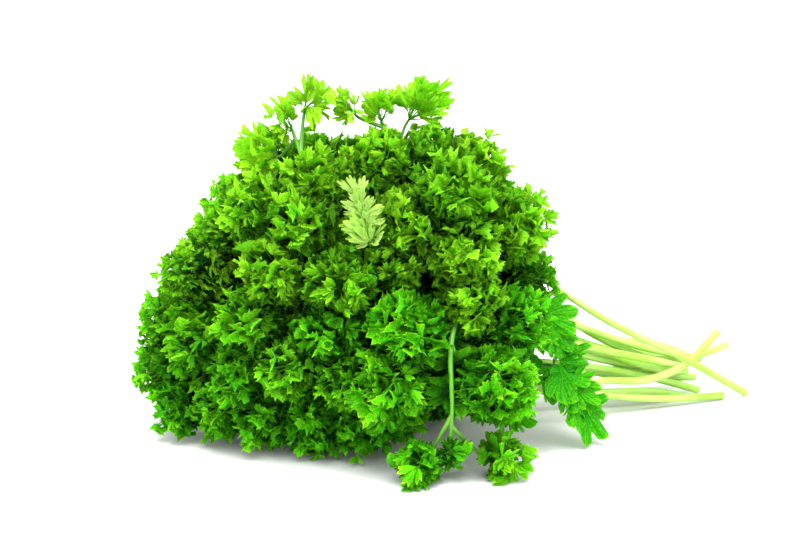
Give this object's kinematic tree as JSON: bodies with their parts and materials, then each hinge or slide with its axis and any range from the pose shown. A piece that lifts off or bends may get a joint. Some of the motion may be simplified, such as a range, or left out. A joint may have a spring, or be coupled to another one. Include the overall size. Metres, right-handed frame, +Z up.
{
  "type": "parsley bunch",
  "caption": "Bunch of fresh curly parsley lying on its side, with crisped, toothed leaf heads and bare pale cut stalks.",
  "frame": {"origin": "middle of the small flat spot of the lowest rosette, on which the lying bunch rests", "axes": "+X along the bunch from the leafy heads to the cut ends of the stalks, +Y away from the side seen in the picture, +Z up from the surface it lies on"},
  "size_m": [0.2569, 0.1523, 0.1401],
  "materials": {
    "leaf": "fresh crisped leaf, bright saturated green with a soft waxy sheen, lighter yellow-green teeth and a paler matte underside",
    "stalk": "fresh smooth pale yellow-green stalk with fine length-wise ridges and a soft sheen"
  },
  "bodies": {
    "root": {"stalk_front_hanging": "stalk", "leaf_front_hanging": "leaf", "stalk_right_flat": "stalk", "leaf_right_flat": "leaf", "stalk_top_right": "stalk", "leaf_top_right": "leaf", "stalk_top_back": "stalk", "leaf_top_back": "leaf", "stalk_top_spray_right": "stalk", "leaf_top_spray_right": "leaf", "stalk_top_spray_left": "stalk", "leaf_top_spray_left": "leaf", "stalk_upper_left": "stalk", "leaf_upper_left": "leaf", "stalk_far_left": "stalk", "leaf_far_left": "leaf", "stalk_left_low": "stalk", "leaf_left_low": "leaf", "stalk_centre": "stalk", "leaf_centre": "leaf", "stalk_centre_left": "stalk", "leaf_centre_left": "leaf", "stalk_bottom_front": "stalk", "leaf_bottom_front": "leaf", "stalk_back_top": "stalk", "leaf_back_top": "leaf", "stalk_back_right": "stalk", "leaf_back_right": "leaf", "stalk_back_middle": "stalk", "leaf_back_middle": "leaf", "stalk_back_low_left": "stalk", "leaf_back_low_left": "leaf", "stalk_back_low_right": "stalk", "leaf_back_low_right": "leaf", "stalk_underside": "stalk", "leaf_underside": "leaf"}
  },
  "joints": []
}
